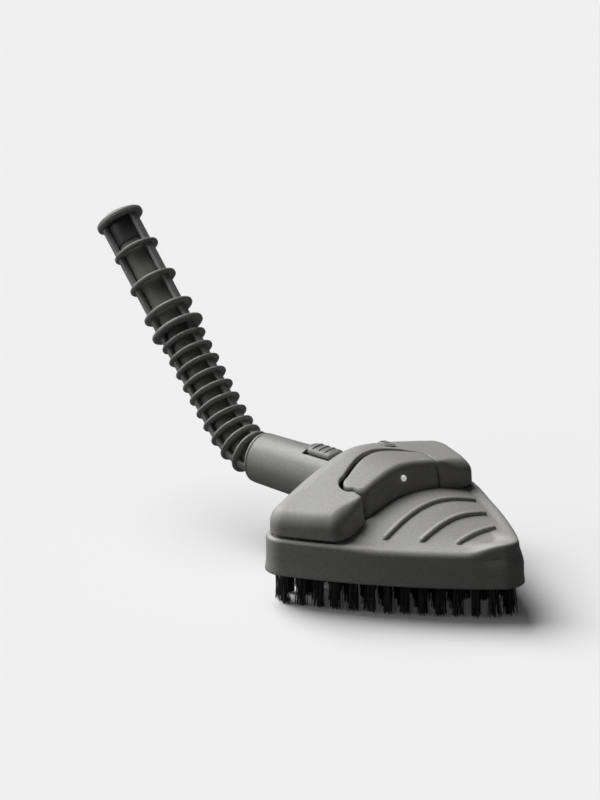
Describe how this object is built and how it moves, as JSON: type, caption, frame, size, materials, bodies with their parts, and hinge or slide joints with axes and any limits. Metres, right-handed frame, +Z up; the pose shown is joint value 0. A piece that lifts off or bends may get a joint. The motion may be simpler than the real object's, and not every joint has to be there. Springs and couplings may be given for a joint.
{
  "type": "triangular steam brush head",
  "caption": "Triangular carpet and upholstery brush head with bristles, a trigger lever, a neck tube and a flexible ribbed hose boot with a hose socket.",
  "frame": {"origin": "bottom of the middle bristle tuft, in the plane that the bristle tips stand on", "axes": "+X towards the nose of the triangular head, +Z up away from the floor, the neck tube runs along -X"},
  "size_m": [0.3294, 0.1526, 0.1635],
  "materials": {
    "shell_plastic": "fine spark texture, satin",
    "lever_plastic": "fine spark texture, satin",
    "button_plastic": "ridged, satin",
    "neck_plastic": "smooth satin",
    "boot_rubber": "moulded flexible, satin",
    "hose_rubber": "matt",
    "coupling_plastic": "satin",
    "bristle_nylon": "nylon filament",
    "plate_plastic": "moulded",
    "seal_rubber": "matt",
    "dot_plastic": "gloss white",
    "steel": "zinc plated",
    "brass": "turned"
  },
  "bodies": {
    "head": {"base_shell": "shell_plastic", "upper_cover": "shell_plastic", "brush_plate": "plate_plastic", "bristle_field": "bristle_nylon", "steam_nozzle": "brass", "plate_screw_1": "steel", "plate_screw_2": "steel", "plate_screw_3": "steel", "cover_screw_1": "steel", "cover_screw_2": "steel", "cover_screw_3": "steel", "cover_screw_4": "steel", "lever_pin": "steel", "valve_body": "brass", "valve_spring": "steel", "steam_pipe": "brass", "outlet_elbow": "brass", "neck_tube": "neck_plastic", "rim_ring": "neck_plastic", "hose_spigot": "brass", "button_spring": "steel"},
    "lever": {"trigger_lever": "lever_plastic", "indicator_dot": "dot_plastic"},
    "plunger": {"valve_plunger": "steel"},
    "lock": {"lever_lock": "lever_plastic"},
    "button": {"release_button": "button_plastic"},
    "boot_base": {"boot_base": "boot_rubber", "swivel_seal": "seal_rubber", "steam_hose": "hose_rubber"},
    "ring_01": {"boot_ring_01": "boot_rubber"},
    "ring_02": {"boot_ring_02": "boot_rubber"},
    "ring_03": {"boot_ring_03": "boot_rubber"},
    "ring_04": {"boot_ring_04": "boot_rubber"},
    "ring_05": {"boot_ring_05": "boot_rubber"},
    "ring_06": {"boot_ring_06": "boot_rubber"},
    "ring_07": {"boot_ring_07": "boot_rubber"},
    "ring_08": {"boot_ring_08": "boot_rubber"},
    "ring_09": {"boot_ring_09": "boot_rubber"},
    "ring_10": {"boot_ring_10": "boot_rubber"},
    "cuff": {"boot_cuff": "boot_rubber", "hose_coupling": "coupling_plastic"}
  },
  "joints": [
    {"name": "lever_press", "type": "hinge", "parent": "head", "child": "lever", "pos_m": [-0.0215, 0, 0.0615], "axis": [0, 1, 0], "range_deg": [0, 7], "stiffness_Nm_per_rad": 0.5, "springref_deg": -6.88},
    {"name": "plunger_push", "type": "slide", "parent": "head", "child": "plunger", "axis": [0, 0, -1], "range_m": [0, 0.0012], "deforming": ["valve_spring"]},
    {"name": "lock_slide", "type": "slide", "parent": "head", "child": "lock", "axis": [-1, 0, 0], "range_m": [0, 0.002]},
    {"name": "button_press", "type": "slide", "parent": "head", "child": "button", "axis": [0, 0, -1], "range_m": [0, 0.0018], "stiffness_N_per_m": 500, "springref_m": -0.001, "deforming": ["button_spring"]},
    {"name": "boot_swivel", "type": "hinge", "parent": "head", "child": "boot_base", "pos_m": [-0.11, 0, 0.0465], "axis": [-1, 0, 0], "range_deg": [-90, 90]},
    {"name": "bend_01", "type": "hinge", "parent": "boot_base", "child": "ring_01", "pos_m": [-0.11425, 0, 0.0465], "axis": [0, 0.9763, -0.2164], "range_deg": [-18.5, 3], "stiffness_Nm_per_rad": 2, "deforming": ["steam_hose"]},
    {"name": "bend_02", "type": "hinge", "parent": "ring_01", "child": "ring_02", "pos_m": [-0.12241, 0.00059, 0.04916], "axis": [0, 0.9763, -0.2164], "range_deg": [-11.5, 3], "stiffness_Nm_per_rad": 2},
    {"name": "bend_03", "type": "hinge", "parent": "ring_02", "child": "ring_03", "pos_m": [-0.12994, 0.00153, 0.05341], "axis": [0, 0.9763, -0.2164], "range_deg": [-8, 3], "stiffness_Nm_per_rad": 2},
    {"name": "bend_04", "type": "hinge", "parent": "ring_03", "child": "ring_04", "pos_m": [-0.1368, 0.00269, 0.05864], "axis": [0, 0.9763, -0.2164], "range_deg": [-5.5, 3], "stiffness_Nm_per_rad": 2},
    {"name": "bend_05", "type": "hinge", "parent": "ring_04", "child": "ring_05", "pos_m": [-0.14311, 0.00399, 0.06449], "axis": [0, 0.9763, -0.2164], "range_deg": [-7, 7], "stiffness_Nm_per_rad": 2},
    {"name": "bend_06", "type": "hinge", "parent": "ring_05", "child": "ring_06", "pos_m": [-0.14942, 0.00528, 0.07033], "axis": [0, 0.9763, -0.2164], "range_deg": [-7, 7], "stiffness_Nm_per_rad": 2},
    {"name": "bend_07", "type": "hinge", "parent": "ring_06", "child": "ring_07", "pos_m": [-0.15573, 0.00658, 0.07618], "axis": [0, 0.9763, -0.2164], "range_deg": [-7, 7], "stiffness_Nm_per_rad": 2},
    {"name": "bend_08", "type": "hinge", "parent": "ring_07", "child": "ring_08", "pos_m": [-0.16204, 0.00788, 0.08203], "axis": [0, 0.9763, -0.2164], "range_deg": [-7, 7], "stiffness_Nm_per_rad": 2},
    {"name": "bend_09", "type": "hinge", "parent": "ring_08", "child": "ring_09", "pos_m": [-0.16835, 0.00917, 0.08787], "axis": [0, 0.9763, -0.2164], "range_deg": [-7, 7], "stiffness_Nm_per_rad": 2},
    {"name": "bend_10", "type": "hinge", "parent": "ring_09", "child": "ring_10", "pos_m": [-0.17466, 0.01047, 0.09372], "axis": [0, 0.9763, -0.2164], "range_deg": [-7, 7], "stiffness_Nm_per_rad": 2},
    {"name": "bend_11", "type": "hinge", "parent": "ring_10", "child": "cuff", "pos_m": [-0.18079, 0.01173, 0.0994], "axis": [0, 0.9763, -0.2164], "range_deg": [-7, 7], "stiffness_Nm_per_rad": 2}
  ],
  "couplings": [
    {"joint": "plunger_push", "follows": "lever_press", "m_per_rad": 0.0087}
  ]
}
